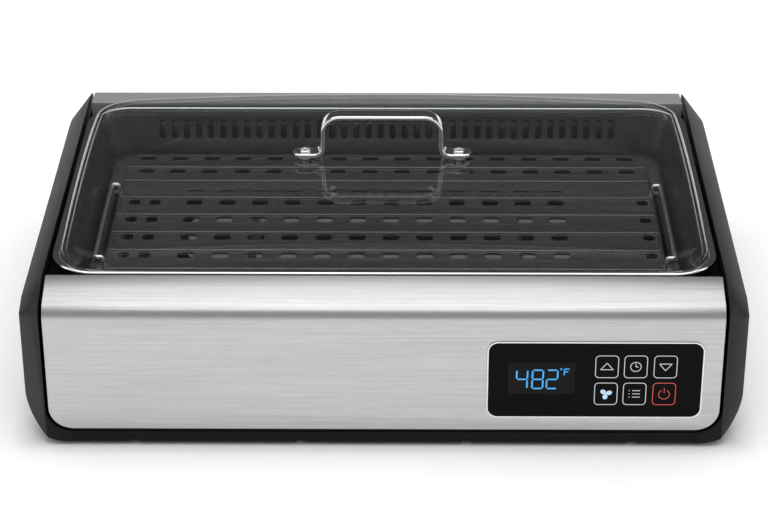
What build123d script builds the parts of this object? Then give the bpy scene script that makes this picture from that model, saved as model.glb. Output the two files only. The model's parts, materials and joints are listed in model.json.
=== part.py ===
from build123d import *
import math
import os

# Smokeless indoor grill, in millimetres.
# X runs left to right, Y runs front to back, Z is up from the surface it stands on.
# The origin is the middle of the footprint, at the bottom of the feet.

# Body
body_width = 540.0
body_depth = 366.0
top_height = 128.2
shoulder_depth = 33.0
front_slope = 19.0
rear_slope = 4.3
front_bend = 14.0
rear_bend = 10.0
skin = 2.5
seam = 0.3
fit = 0.05
lift_gap = 0.3
spare = 1.0

# Feet and base pan
foot_height = 3.0
foot_radius = 9.0
foot_stem = 3.0
foot_stem_radius = 3.0
foot_inset_x = 33.0
foot_inset_y = 38.0
skirt_height = 9.5
base_inset = 17.0
base_wall_drop = 62.2
base_end_height = 27.0
notch_radius = 3.6
notch_depth = 4.0
notch_pitch = 124.0
notch_count = 4

# Steel panels
cap_width = 20.0
panel_sheet = 1.0
panel_corner = 17.5
groove = 2.5
hem = 12.0

# End caps
cap_bevel = 20.5
cap_corner = 33.0
cap_flange = 14.0
cap_boss_radius = 5.0
cap_boss_height = 18.0
cap_boss_pitch = 110.0
cap_boss_count = 3

# Deck round the cooking well
deck_drop = 12.7
deck_sheet = 2.5
collar_wall = 2.0
post_radius = 3.5
post_angle = 66.0
boss_radius = 4.0
boss_inset = 43.0

# Cooking well, and the flat frame below it that carries the plate
well_inset_x = 7.1
well_inset_y = 3.5
well_depth = 34.3
well_corner = 31.0
well_floor_corner = 15.0
well_lean = 13.2
well_sheet = 1.8
well_flange = 4.0
ledge = 7.2

# Air slots in the rear wall of the well
air_slot_margin = 47.0
air_slot_pitch = 10.25
air_slot_width = 5.1
air_slot_length = 16.5
air_slot_rise = 20.0

# Grill plate
plate_gap_x = 1.2
plate_gap_y = 3.0
plate_corner = 26.0
plate_sheet = 1.6
field_inset_x = 11.5
field_inset_y = 2.7
field_corner = 14.0
field_rise = 0.7
rib_width = 4.4
rib_rise = 1.7
rib_pitch = 30.0
rib_end_pitch = 25.0
rib_shift = -1.0
slot_length = 13.4
slot_depth = 9.6
slot_rounding = 0.36
slot_pitch = 26.7
slot_offset = 4.6
slot_margin = 52.0
slot_gap = 0.3
narrow_depth = 7.0
edge_row_inset = 7.0
slit_depth = 3.4
slit_gap = 13.3
end_hole = 9.0
end_holes_left = (12.5, 29.0)
end_hole_right = 8.0
finger_length = 108.0
finger_width = 5.0
finger_inset = 7.2

# Wire grips of the grill plate
grip_wire = 1.7
grip_span = 124.0
grip_reach = 6.0
grip_rise = 3.4
grip_inset = 2.7

# Heating element
element_drop = 10.5
element_radius = 3.6
element_leg = 30.5
element_bend = 11.0
element_tail = 10.0
element_gap = 18.0
cross_bar_inset = 49.0
cross_bar_width = 9.0
cross_bar_sheet = 1.6
cross_bar_gap = 1.6
clip_foot = 5.0
clip_inset = 1.0
block_length = 49.0
block_width = 36.0
block_height = 14.0
block_corner = 2.5
block_gap = 1.0
blade_drop = 9.0
blade_width = 6.0
blade_sheet = 1.0
blade_pitch = 11.0
blade_inset = 1.4

# Heat shield tank and drip tray
tank_room_x = 5.0
tank_room_y = 6.4
tank_corner = 26.0
tank_rise = 27.0
tank_sheet = 1.0
tank_gap = 1.5
rest_height = 14.0
rest_thick = 1.6
rest_margin = 2.0
rest_gap = 0.8
tray_room_y = 8.6
tray_room_z = 12.7
tray_corner = 20.0
tray_sheet = 1.2
tray_lip = 3.0
tray_lean = 7.0
socket_depth = 15.0
socket_width = 40.0
socket_wall = 2.0

# Lid
rim_margin_x = 0.5
rim_margin_y = 3.5
rim_corner = 34.0
rim_band = 6.0
rim_height = 3.6
glass_thick = 3.6
glass_rise = 24.0
glass_shoulder = 10.0
glass_drop = 8.0
glass_bulge = 100.0
handle_offset = -2.5
handle_span = 96.0
handle_height = 36.5
handle_strap = 3.6
handle_width = 13.0
handle_top_bend = 15.0
handle_foot_bend = 6.0
handle_foot_reach = 15.5
handle_screw_reach = 12.5
handle_screw_radius = 2.0
handle_head_radius = 4.4
handle_head_height = 2.0
handle_washer_radius = 6.2
handle_washer_thick = 1.2
nut_radius = 4.2
nut_height = 3.2

# Control panel on the front
control_inset = 13.7
control_lift = 10.95
control_length = 160.0
control_height = 65.5
control_corner = 8.5
control_rim = 1.1
control_proud = 0.6
control_glass_thick = 1.6
carrier_depth = 12.0
display_shift_x = -39.7
display_shift_z = 1.5
display_length = 50.0
display_height = 27.0
display_corner = 1.0
button_shifts_x = (8.5, 29.7, 51.5)
button_shifts_z = (11.7, -11.4)
touch_spring_radius = 3.0
board_thick = 1.6

# Power electronics on the base
power_x = -120.0
power_inset = 23.0
power_length = 140.0
power_width = 30.0
power_post = 7.0
power_post_radius = 3.0
power_post_inset_x = 5.0
power_post_inset_y = 4.0
relay_shift = -42.0
relay_length = 22.0
relay_width = 16.0
relay_height = 17.0
relay_corner = 1.5
core_length = 26.0
core_width = 22.0
core_height = 22.0
coil_length = 18.0
coil_width = 27.0
coil_height = 15.0
can_shift = 38.0
can_radius = 7.0
can_height = 20.0
can_edge = 1.2

# Fan and exhaust at the back
fan_size = 70.0
fan_thick = 18.0
fan_inset = 33.0
fan_lift = 17.5
fan_wall = 2.0
fan_corner = 5.0
fan_screw_inset = 5.0
spoke_width = 4.0
spoke_turns = (45, 135, 225, 315)
hub_radius = 13.0
hub_length = 12.0
hub_wall = 2.0
hub_start = 1.5
bearing_wall = 2.5
bearing_length = 5.0
blade_count = 7
blade_twist = 58.0
fan_blade_thick = 1.6
fan_tip_gap = 0.8
shaft_radius = 1.5
duct_wall = 1.6
duct_boss_radius = 4.0
grille_margin_x = 23.0
grille_margin_z = 3.0
grille_corner = 6.0
grille_bar = 2.4
grille_pitch = 6.4
filter_margin = 10.25
filter_height = 20.0
filter_thick = 2.0
filter_pitch = 9.0
filter_hole = 5.0
filter_edge = 3.0

# Power inlet at the back
inlet_inset = 45.0
inlet_lift = 17.0
inlet_length = 27.0
inlet_height = 20.0
inlet_flange_length = 50.0
inlet_flange_height = 24.0
inlet_flange_corner = 4.0
inlet_flange_thick = 1.6
inlet_depth = 22.0
inlet_wall = 2.0
inlet_hollow_corner = 1.5
inlet_pin = 2.0
inlet_pin_height = 4.0
inlet_pin_shifts = ((-7.0, -2.0), (0.0, 2.0), (7.0, -2.0))
inlet_pin_inset = 4.0
inlet_screw_span = 40.0

# Sensor and fuse under the tank
sensor_x = 60.0
sensor_radius = 6.0
sensor_height = 6.0
strap_length = 16.0
strap_width = 4.0
strap_thick = 2.0
fuse_x = 58.0
fuse_y = 25.0
fuse_radius = 2.2
fuse_length = 16.0
fuse_gap = 1.0

# Small fasteners
screw_radius = 1.5
screw_head_radius = 3.2
screw_head_height = 1.8
screw_length = 9.0

# Places that follow from the sizes
half_width = body_width / 2
half_depth = body_depth / 2
mouth_depth = body_depth - 2 * shoulder_depth
half_mouth = mouth_depth / 2
panel_width = body_width - 2 * cap_width
panel_half = panel_width / 2
cap_inner = panel_half + groove
base_half = panel_half - base_inset
base_top = foot_height + skirt_height
base_wall_height = top_height - base_wall_drop
panel_bottom = base_top + groove
pan_floor_top = foot_height + skin
foot_x = base_half - foot_inset_x
foot_y = half_depth - foot_inset_y
deck_level = top_height - deck_drop
deck_low = deck_level - deck_sheet
rim_half_x = panel_half - rim_margin_x
rim_half_y = half_mouth - rim_margin_y
rim_top = top_height
rim_low = rim_top - rim_height
well_half_x = rim_half_x - well_inset_x
well_half_y = rim_half_y - well_inset_y
well_top = rim_low - lift_gap
well_floor = well_top - well_depth
well_flange_low = well_top - well_sheet
floor_half_x = well_half_x - well_lean
floor_half_y = well_half_y - well_lean
ledge_half_x = floor_half_x - ledge
ledge_half_y = floor_half_y - ledge
air_slot_height = well_floor + air_slot_rise
air_slot_count = int(2 * (well_half_x - air_slot_margin) / air_slot_pitch)
plate_half_x = floor_half_x - plate_gap_x
plate_half_y = floor_half_y - plate_gap_y
field_half_x = plate_half_x - field_inset_x
field_half_y = plate_half_y - field_inset_y
plate_low = well_floor + lift_gap
plate_top = plate_low + plate_sheet + field_rise
slot_count = int(2 * (field_half_x - slot_margin) / slot_pitch)
narrow_count = int(2 * field_half_x / slot_pitch)
element_level = well_floor - element_drop
bar_top = element_level - element_radius - seam
bar_low = bar_top - cross_bar_sheet
bar_half = ledge_half_y - cross_bar_gap
rest_top = bar_low - lift_gap
block_end = ledge_half_x - block_gap
block_start = block_end - block_length
block_low = element_level - block_height / 2
blade_x = block_end - socket_wall - blade_sheet - blade_inset
element_half = block_start - element_gap
cross_bar_x = element_half - cross_bar_inset
tank_half_x = floor_half_x + well_sheet + tank_room_x
tank_half_y = floor_half_y + well_sheet + tank_room_y
tank_floor = foot_height + tank_rise
tank_top = well_floor - well_sheet - tank_gap
boss_x = base_half - boss_inset
socket_start = blade_x - socket_wall - blade_sheet
tray_half_x = socket_start - rest_gap
tray_half_y = ledge_half_y - tray_room_y
tray_low = tank_floor + tank_sheet + lift_gap
tray_top = bar_low - tray_room_z
glass_apex = top_height + glass_rise
glass_rim_half_x = rim_half_x - rim_band
glass_rim_half_y = rim_half_y - rim_band
glass_corner = rim_corner - rim_band
handle_screw_span = handle_span + 2 * handle_screw_reach
base_inner_face = half_depth - panel_sheet - skin
control_x = panel_half - control_inset - control_length / 2
control_z = panel_bottom + control_lift + control_height / 2
display_x = control_x + display_shift_x
display_z = control_z + display_shift_z
button_columns = [control_x + shift for shift in button_shifts_x]
button_rows = [control_z + shift for shift in button_shifts_z]
power_y = power_inset - half_depth
power_level = pan_floor_top + power_post
fan_y = half_depth - fan_inset
fan_z = pan_floor_top + fan_lift + fan_size / 2
fan_end = fan_y + fan_thick
grille_length = fan_size + 2 * grille_margin_x
grille_height = fan_size + 2 * grille_margin_z
filter_length = air_slot_count * air_slot_pitch + 2 * filter_margin
inlet_x = base_half - inlet_inset
inlet_z = panel_bottom + inlet_lift + inlet_height / 2


# Helpers
def block(x0, x1, y0, y1, z0, z1):
    return Pos((x0 + x1) / 2, (y0 + y1) / 2, (z0 + z1) / 2) * Box(x1 - x0, y1 - y0, z1 - z0)


def rod(radius, x, y, z0, z1):
    return Pos(x, y, (z0 + z1) / 2) * Cylinder(radius, z1 - z0)


def rod_y(radius, x, z, y0, y1):
    return Pos(x, (y0 + y1) / 2, z) * Rot(90, 0, 0) * Cylinder(radius, y1 - y0)


def rod_x(radius, y, z, x0, x1):
    return Pos((x0 + x1) / 2, y, z) * Rot(0, 90, 0) * Cylinder(radius, x1 - x0)


def slab(half_x, half_y, corner, z0, z1):
    return extrude(Pos(0, 0, z0) * RectangleRounded(2 * half_x, 2 * half_y, corner), z1 - z0)


def tapered(low_x, low_y, low_corner, z0, high_x, high_y, high_corner, z1):
    low = Pos(0, 0, z0) * RectangleRounded(2 * low_x, 2 * low_y, low_corner)
    high = Pos(0, 0, z1) * RectangleRounded(2 * high_x, 2 * high_y, high_corner)
    return loft([low, high], ruled=True)


# A plate with rounded corners that stands upright, facing front, between two depths
def upright(x, z, length, height, corner, y0, y1):
    front = Plane(origin=(x, y0, z), x_dir=(1, 0, 0), z_dir=(0, -1, 0))
    return extrude(front * RectangleRounded(length, height, corner), y0 - y1)


def mirror_x(shape):
    return mirror(shape, about=Plane.YZ)


def spread(count, pitch):
    return [(i - (count - 1) / 2) * pitch for i in range(count)]


# Side outline of the body: upright front, sloped top edges and upright back.
# A positive inset moves every line inwards, square to itself.
def body_points(inset, low):
    edge = half_depth - inset
    front_rise = math.tan(math.radians(front_slope))
    rear_rise = math.tan(math.radians(rear_slope))
    front_shift = inset / math.cos(math.radians(front_slope))
    rear_shift = inset / math.cos(math.radians(rear_slope))
    crest = top_height - inset
    front_knee = top_height - (edge - half_mouth) * front_rise - front_shift
    rear_knee = top_height - (edge - half_mouth) * rear_rise - rear_shift
    front_crest = half_mouth - (front_shift - inset) / front_rise
    rear_crest = half_mouth - (rear_shift - inset) / rear_rise
    return [(-edge, low), (-edge, front_knee), (-front_crest, crest),
            (rear_crest, crest), (edge, rear_knee), (edge, low)]


def body_face(x, inset, low):
    points = body_points(inset, low)
    sketch = make_face(Polyline(*points, close=True))
    corners = sketch.vertices()
    front = corners.sort_by_distance((points[1][0], points[1][1], 0))[0]
    sketch = fillet(front, max(front_bend - inset, 1.0))
    rear = sketch.vertices().sort_by_distance((points[4][0], points[4][1], 0))[0]
    sketch = fillet(rear, max(rear_bend - inset, 1.0))
    return Plane.YZ.offset(x) * sketch


# Front outline of a panel, grown by a margin, as a bar that runs front to back
def panel_bar(grow, low, corner):
    height = 2 * top_height
    outline = Plane.XZ * Pos(0, low - grow + height / 2) * Rectangle(panel_width + 2 * grow, height)
    bar = extrude(outline, half_depth + skin, both=True)
    edges = bar.edges().filter_by(Axis.Y).group_by(Axis.Z)[0]
    return fillet(edges, corner + grow)


# Front and rear panels: one bent sheet each, with a hem turned down at the mouth
def panel_sheet_solid():
    outside = extrude(body_face(-panel_half, 0, panel_bottom), panel_width)
    inside = extrude(body_face(-half_width, panel_sheet, 0), body_width)
    sheet = outside - inside
    return sheet & panel_bar(0, panel_bottom, panel_corner)


def make_panels():
    shell = panel_sheet_solid()
    edge = half_mouth
    front_hem = block(-panel_half, panel_half, -edge - panel_sheet, -edge, top_height - hem, top_height)
    rear_hem = block(-panel_half, panel_half, edge, edge + panel_sheet, top_height - hem, top_height)
    front = shell & block(-half_width, half_width, -half_depth - skin, -edge, 0, 2 * top_height)
    rear = shell & block(-half_width, half_width, edge, half_depth + skin, 0, 2 * top_height)
    front = front + (front_hem & extrude(body_face(-half_width, 0, 0), body_width))
    rear = rear + (rear_hem & extrude(body_face(-half_width, 0, 0), body_width))
    window = upright(control_x, control_z, control_length, control_height, control_corner,
                     -half_depth - skin, -half_depth + skin)
    front = front - window
    vent = upright(0, fan_z, grille_length - 2 * skin, grille_height - 2 * skin, grille_corner,
                   half_depth - skin, half_depth + skin)
    plug = upright(inlet_x, inlet_z, inlet_length + 2 * seam, inlet_height + 2 * seam, skin,
                   half_depth - skin, half_depth + skin)
    rear = rear - vent - plug
    for x in (-inlet_screw_span / 2, inlet_screw_span / 2):
        rear = rear - rod_y(screw_radius + fit, inlet_x + x, inlet_z, half_depth - skin, half_depth + skin)
    for x in rear_screw_places():
        rear = rear - rod_y(screw_head_radius + fit, x, rear_screw_height(),
                            half_depth - skin, half_depth + skin)
    return front, rear


def rear_screw_places():
    near = grille_length / 2 + 4 * screw_head_radius
    far = panel_half - panel_corner - screw_head_radius
    return (-far, -near, near, far)


def rear_screw_height():
    return panel_bottom + 3 * screw_head_radius


# End caps: a hollow moulding, bevelled on its outer edges
def cap_block(inset):
    low = foot_height - cap_corner
    start = base_half
    straight = extrude(body_face(start, inset, low), cap_inner - start)
    bevel = loft([body_face(cap_inner, inset, low), body_face(half_width - inset, cap_bevel + inset, low)],
                 ruled=True)
    whole = straight + bevel
    height = 2 * top_height
    outline = Plane.XZ * Pos(0, foot_height + inset + height / 2) * Rectangle(body_width - 2 * inset, height)
    bar = extrude(outline, half_depth + skin, both=True)
    bar = fillet(bar.edges().filter_by(Axis.Y).group_by(Axis.Z)[0], cap_corner - inset)
    return whole & bar


def make_right_cap():
    cap = cap_block(0)
    flange_low = top_height - cap_flange
    flange = block(0, cap_inner + skin, -half_depth, half_depth, flange_low, 2 * top_height)
    cavity = cap_block(skin) - flange
    cap = cap - cavity - panel_bar(groove, panel_bottom, panel_corner)
    for y in spread(cap_boss_count, cap_boss_pitch):
        boss = rod_x(cap_boss_radius, y, cap_boss_height, base_half + fit, half_width) & cap_block(skin / 2)
        boss = boss - rod_x(screw_radius + fit, y, cap_boss_height, 0, base_half + screw_length)
        cap = cap + boss
    return cap


# Base pan: floor, skirt, walls, sleeves under the tank and posts under the board.
# The deck's legs stand just outside the round corners of the well.
def deck_legs():
    reach = well_corner + well_sheet + 2 * seam + post_radius
    turn = math.radians(post_angle)
    x = well_half_x - well_corner + reach * math.cos(turn)
    y = well_half_y - well_corner + reach * math.sin(turn)
    return [(sx * x, sy * y) for sx in (-1, 1) for sy in (-1, 1)]


def tank_bosses():
    return [(x, y) for x in (-boss_x, 0, boss_x) for y in (-tank_half_y / 2, tank_half_y / 2)]


def power_posts():
    x = power_length / 2 - power_post_inset_x
    y = power_width / 2 - power_post_inset_y
    return [(power_x + sx * x, power_y + sy * y) for sx in (-1, 1) for sy in (-1, 1)]


def make_base_pan():
    skirt = block(-base_half, base_half, -half_depth, half_depth, foot_height, base_top)
    skirt = fillet(skirt.edges().filter_by(Axis.X).group_by(Axis.Z)[0], skin)
    inner = half_depth - panel_sheet
    tub = block(-base_half, base_half, -inner, inner, foot_height, base_wall_height)
    hollow = block(-base_half + skin, base_half - skin, -inner + skin, inner - skin,
                   pan_floor_top, 2 * base_wall_height)
    ends = block(-body_width, -base_half + skin, -body_depth, body_depth, base_end_height, body_width)
    tub = tub - ends - mirror_x(ends)
    pan = (skirt + tub) - hollow
    for x in spread(notch_count, notch_pitch):
        pan = pan - rod_y(notch_radius, x, foot_height, -half_depth - spare, -half_depth + notch_depth)
        pan = pan - rod_y(notch_radius, x, foot_height, half_depth - notch_depth, half_depth + spare)
    for x, y in tank_bosses():
        pan = pan + rod(boss_radius, x, y, foot_height, tank_floor)
        pan = pan - rod(screw_radius + fit, x, y, 0, tank_floor + spare)
    for x, y in power_posts():
        pan = pan + rod(power_post_radius, x, y, foot_height, power_level)
        pan = pan - rod(screw_radius + fit, x, y, pan_floor_top, power_level + spare)
    for x, y in deck_legs():
        pan = pan - rod(screw_radius + fit, x, y, 0, pan_floor_top + spare)
    for x in (-foot_x, foot_x):
        for y in (-foot_y, foot_y):
            pan = pan - rod(foot_stem_radius + fit, x, y, 0, foot_height + foot_stem)
    pan = pan - upright(0, fan_z, grille_length - 2 * skin, grille_height - 2 * skin, grille_corner,
                        half_depth - 3 * skin, half_depth + skin)
    pan = pan - upright(inlet_x, inlet_z, inlet_length + 2 * seam, inlet_height + 2 * seam, skin,
                        half_depth - 3 * skin, half_depth + skin)
    pan = pan - upright(control_x, control_z, control_length + 4 * seam, control_height + 4 * seam,
                        control_corner, -half_depth - skin, control_bay_end())
    for x in (-inlet_screw_span / 2, inlet_screw_span / 2):
        pan = pan - rod_y(screw_radius + fit, inlet_x + x, inlet_z, half_depth - 3 * skin, half_depth + skin)
    for x in rear_screw_places():
        pan = pan - rod_y(screw_radius + fit, x, rear_screw_height(), half_depth - 3 * skin, half_depth)
    for side in (-1, 1):
        for y in spread(cap_boss_count, cap_boss_pitch):
            pan = pan - rod_x(screw_radius + fit, y, cap_boss_height,
                              side * base_half - 2 * skin, side * base_half + 2 * skin)
    return pan


def make_feet():
    feet = []
    for x in (-foot_x, foot_x):
        for y in (-foot_y, foot_y):
            pad = rod(foot_radius, x, y, 0, foot_height)
            pad = fillet(pad.edges().group_by(Axis.Z)[0], foot_height / 3)
            feet.append(pad + rod(foot_stem_radius, x, y, foot_height - fit, foot_height + foot_stem))
    return Compound(children=feet)


# Deck: the black plate round the well, its four legs and the collar that the well hangs on
def make_deck():
    half_x = cap_inner - seam
    half_y = half_mouth - seam
    deck = block(-half_x, half_x, -half_y, half_y, deck_low, deck_level)
    wall_x = well_half_x + well_sheet + seam
    wall_y = well_half_y + well_sheet + seam
    corner = well_corner + well_sheet
    collar = slab(wall_x + collar_wall, wall_y + collar_wall, corner + collar_wall, deck_low, well_flange_low)
    deck = deck + collar
    deck = deck - slab(wall_x, wall_y, corner, 0, 2 * top_height)
    for x, y in deck_legs():
        leg = rod(post_radius, x, y, pan_floor_top, deck_low)
        deck = deck + (leg - rod(screw_radius + fit, x, y, 0, pan_floor_top + screw_length))
    return deck


# Cooking well: leaning walls with a flange that hangs on the collar
def make_well():
    grow = well_sheet
    outer = tapered(floor_half_x + grow, floor_half_y + grow, well_floor_corner + grow, well_floor,
                    well_half_x + grow, well_half_y + grow, well_corner + grow, well_top)
    inner = tapered(floor_half_x, floor_half_y, well_floor_corner, well_floor,
                    well_half_x, well_half_y, well_corner, well_top)
    flange = slab(well_half_x + well_flange, well_half_y + well_flange, well_corner + well_flange,
                  well_flange_low, well_top)
    return (outer + flange) - inner - air_slot_cutters()


# Flat frame welded under the well's walls: its inner edge is the ledge for the plate
def make_plate_frame():
    grow = well_sheet
    frame = slab(floor_half_x + grow, floor_half_y + grow, well_floor_corner + grow,
                 well_floor - grow, well_floor)
    return frame - slab(ledge_half_x, ledge_half_y, well_floor_corner, 0, well_top)


# The slots stand along the lean of the rear wall
def air_slot_cutters():
    rise = well_top - well_floor
    lean = math.atan2(well_lean, rise)
    y = floor_half_y + (air_slot_height - well_floor) / rise * well_lean
    cutters = []
    for x in spread(air_slot_count, air_slot_pitch):
        wall = Plane(origin=(x, y, air_slot_height), x_dir=(0, math.sin(lean), math.cos(lean)),
                     z_dir=(0, math.cos(lean), -math.sin(lean)))
        slot = wall * SlotOverall(air_slot_length, air_slot_width)
        cutters.append(extrude(slot, 2 * well_sheet, both=True))
    return cutters


# Grill plate: flange, raised field, ribs across and rows of slots.
# The rows run from back to front.
def rib_rows():
    inner = spread(int(2 * (field_half_y - rib_end_pitch) / rib_pitch), rib_pitch)
    rows = [inner[-1] + rib_end_pitch] + inner[::-1] + [inner[0] - rib_end_pitch]
    return [row + rib_shift for row in rows]


def plate_holes():
    holes = []
    low = plate_low - spare
    tall = plate_top + rib_rise + spare - low
    rows = rib_rows()

    def hole(x, y, length, depth):
        corner = slot_rounding * min(length, depth)
        holes.append(extrude(Pos(x, y, low) * RectangleRounded(length, depth, corner), tall))

    wide_columns = [x + slot_offset - slot_pitch / 2 for x in spread(slot_count, slot_pitch)]
    end_columns = [x - field_half_x for x in end_holes_left] + [field_half_x - end_hole_right]
    for row in rows[2:-1]:
        y = row - rib_width / 2 - slot_gap - slot_depth / 2
        for x in wide_columns:
            hole(x, y, slot_length, slot_depth)
        for x in end_columns:
            hole(x, y, end_hole, slot_depth)
    narrow_rows = [row - rib_width / 2 - slot_gap - narrow_depth / 2 for row in (rows[0], rows[-1])]
    for y in [field_half_y - edge_row_inset] + narrow_rows:
        for x in spread(narrow_count, slot_pitch):
            hole(x, y, slot_length, narrow_depth)
    for x in wide_columns:
        hole(x, rows[2] + slit_gap, slot_length, slit_depth)
    for side in (-1, 1):
        hole(side * (plate_half_x - finger_inset), 0, finger_width, finger_length)
    return holes


def make_plate():
    flange = slab(plate_half_x, plate_half_y, plate_corner, plate_low, plate_low + plate_sheet)
    field = slab(field_half_x, field_half_y, field_corner, plate_low, plate_top)
    plate = flange + field
    for y in rib_rows():
        rib = block(-field_half_x, field_half_x, y - rib_width / 2, y + rib_width / 2,
                    plate_low + plate_sheet / 2, plate_top + rib_rise)
        rib = fillet(rib.edges().filter_by(Axis.X).group_by(Axis.Z)[-1], rib_width / 4)
        plate = plate + rib
    return plate - plate_holes()


# Wire grips stand on the plate's end flanges
def make_grip(side):
    level = plate_low + plate_sheet + grip_rise
    outer = side * (plate_half_x - grip_inset)
    inner = outer - side * grip_reach
    span = grip_span / 2
    path = FilletPolyline((inner, -span, plate_low + plate_sheet), (inner, -span, level),
                          (outer, -span, level), (outer, span, level),
                          (inner, span, level), (inner, span, plate_low + plate_sheet),
                          radius=grip_wire * 1.15)
    section = Plane(origin=path @ 0, z_dir=path % 0) * Circle(grip_wire)
    return sweep(section, path=path)


# Heating element: one bent tube with both tails in the terminal block
def element_path():
    turn = element_leg
    x = element_half
    points = [(block_start, element_tail), (x, element_tail), (x, turn), (-x, turn),
              (-x, -turn), (x, -turn), (x, -element_tail), (block_start, -element_tail)]
    points = [(px, py, element_level) for px, py in points]
    bend = min(element_bend, (element_leg - element_tail) / 2.2)
    return FilletPolyline(*points, radius=bend)


def make_element():
    path = element_path()
    section = Plane(origin=path @ 0, z_dir=path % 0) * Circle(element_radius)
    return sweep(section, path=path)


def make_cross_bars():
    bars = []
    for x in (-cross_bar_x, cross_bar_x):
        bar = block(x - cross_bar_width / 2, x + cross_bar_width / 2, -bar_half, bar_half, bar_low, bar_top)
        bars.append(bar)
    return Compound(children=bars)


# Saddle clips: a strap over the tube at each crossing, with a foot on both sides
def make_clips():
    clips = []
    ring = element_radius + seam
    strap = cross_bar_sheet
    reach = ring + strap + clip_foot
    for x in (-cross_bar_x, cross_bar_x):
        for y in (-element_leg, element_leg):
            half = cross_bar_width / 2 - clip_inset
            arch = rod_x(ring + strap, y, element_level, x - half, x + half)
            wide = ring + strap
            arch = arch + block(x - half, x + half, y - wide, y + wide, bar_top, element_level)
            arch = arch + block(x - half, x + half, y - reach, y + reach, bar_top, bar_top + strap / 2)
            arch = arch - rod_x(ring, y, element_level, x - half - spare, x + half + spare)
            arch = arch - block(x - half - spare, x + half + spare, y - ring, y + ring,
                                bar_top - spare, element_level)
            arch = arch & block(x - half, x + half, y - reach, y + reach, bar_top, top_height)
            clips.append(arch)
    return Compound(children=clips)


def make_terminal_block():
    body = block(block_start, block_end, -block_width / 2, block_width / 2,
                 block_low, block_low + block_height)
    body = fillet(body.edges().filter_by(Axis.Z), block_corner)
    holes = [rod_x(element_radius, s * element_tail, element_level, block_start - spare, block_start)
             for s in (-1, 1)]
    return body - holes


def make_blades():
    blades = []
    for y in (-blade_pitch, 0, blade_pitch):
        blades.append(block(blade_x - blade_sheet / 2, blade_x + blade_sheet / 2,
                            y - blade_width / 2, y + blade_width / 2, block_low - blade_drop, block_low))
    return Compound(children=blades)


# Socket on the tank's end wall that the element's blades drop into
def make_socket():
    top = block_low - lift_gap
    low = top - socket_depth
    body = block(socket_start, tank_half_x - tank_sheet, -socket_width / 2, socket_width / 2, low, top)
    for y in (-blade_pitch, 0, blade_pitch):
        body = body - block(blade_x - blade_sheet, blade_x + blade_sheet,
                            y - blade_width / 2 - seam, y + blade_width / 2 + seam,
                            top - blade_drop - spare, top + spare)
    return body


# Tank: open box of sheet that shields the housing and ends just under the well
def make_tank():
    tank = slab(tank_half_x, tank_half_y, tank_corner, tank_floor, tank_top)
    return tank - slab(tank_half_x - tank_sheet, tank_half_y - tank_sheet, tank_corner - tank_sheet,
                       tank_floor + tank_sheet, 2 * top_height)


# Rests on the tank's long walls carry the cross bars and leave the tray's way up free
def make_rests():
    rests = []
    wall = tank_half_y - tank_sheet
    reach = tray_half_y + rest_gap
    half = cross_bar_width / 2 + rest_margin
    for x in (-cross_bar_x, cross_bar_x):
        for side in (-1, 1):
            ends = sorted((side * reach, side * wall))
            shelf = block(x - half, x + half, ends[0], ends[1], rest_top - rest_thick, rest_top)
            ends = sorted((side * (wall - rest_thick), side * wall))
            leg = block(x - half, x + half, ends[0], ends[1], rest_top - rest_height, rest_top)
            rests.append(shelf + leg)
    return Compound(children=rests)


# Drip tray for water and fat, lifted out after the element
def make_tray():
    top_x = tray_half_x - tray_lip
    top_y = tray_half_y - tray_lip
    low_x = top_x - tray_lean
    low_y = top_y - tray_lean
    thin = tray_sheet
    outer = tapered(low_x, low_y, tray_corner - tray_lean, tray_low, top_x, top_y, tray_corner, tray_top)
    inner = tapered(low_x - thin, low_y - thin, tray_corner - tray_lean - thin, tray_low + thin,
                    top_x - thin, top_y - thin, tray_corner - thin, tray_top)
    lip = slab(tray_half_x, tray_half_y, tray_corner + tray_lip, tray_top - thin, tray_top)
    return (outer + lip) - inner


# Lid: polished rim, domed glass, strap handle and its fasteners
def make_rim():
    rim = slab(rim_half_x, rim_half_y, rim_corner, rim_low, rim_top)
    rim = rim - slab(glass_rim_half_x, glass_rim_half_y, glass_corner, 0, 2 * top_height)
    top_edges = rim.edges().group_by(Axis.Z)[-1]
    rim = fillet(top_edges, rim_height * 0.4)
    return rim


# The dome is a shallow ellipsoid cut by the inside of the rim, with a soft shoulder
def dome(inset):
    half_x = glass_rim_half_x - inset
    half_y = glass_rim_half_y - inset
    tall = glass_bulge - inset
    spread_by = 1 / math.sqrt(1 - (1 - glass_drop / glass_bulge) ** 2)
    apex = glass_apex - inset
    reach_x = glass_rim_half_x * spread_by - inset
    reach_y = glass_rim_half_y * spread_by - inset
    ball = scale(Sphere(1), by=(reach_x, reach_y, tall))
    ball = Pos(0, 0, apex - tall) * ball
    low = rim_low if inset == 0 else rim_low - spare
    prism = slab(half_x, half_y, glass_corner - inset, low, 2 * top_height)
    whole = prism & ball
    top = [e for e in whole.edges() if e.center().Z > rim_top and not is_upright(e)]
    return fillet(top, glass_shoulder - inset)


def is_upright(edge):
    box = edge.bounding_box()
    return box.max.Z - box.min.Z > max(box.max.X - box.min.X, box.max.Y - box.min.Y)


def handle_screw_places():
    return [handle_offset - handle_screw_span / 2, handle_offset + handle_screw_span / 2]


def make_glass():
    glass = dome(0) - dome(glass_thick)
    for x in handle_screw_places():
        glass = glass - rod(handle_screw_radius + fit, x, 0, rim_low, 2 * top_height)
    return glass


# Height of the dome's outside above a place
def dome_level(x, y):
    spread_by = 1 / math.sqrt(1 - (1 - glass_drop / glass_bulge) ** 2)
    share = (x / (glass_rim_half_x * spread_by)) ** 2 + (y / (glass_rim_half_y * spread_by)) ** 2
    return glass_apex - glass_bulge + glass_bulge * math.sqrt(1 - share)


def washer_low():
    far = handle_screw_span / 2 + abs(handle_offset)
    return dome_level(far, 0) + seam


def strap_low():
    return washer_low() + handle_washer_thick


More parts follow.
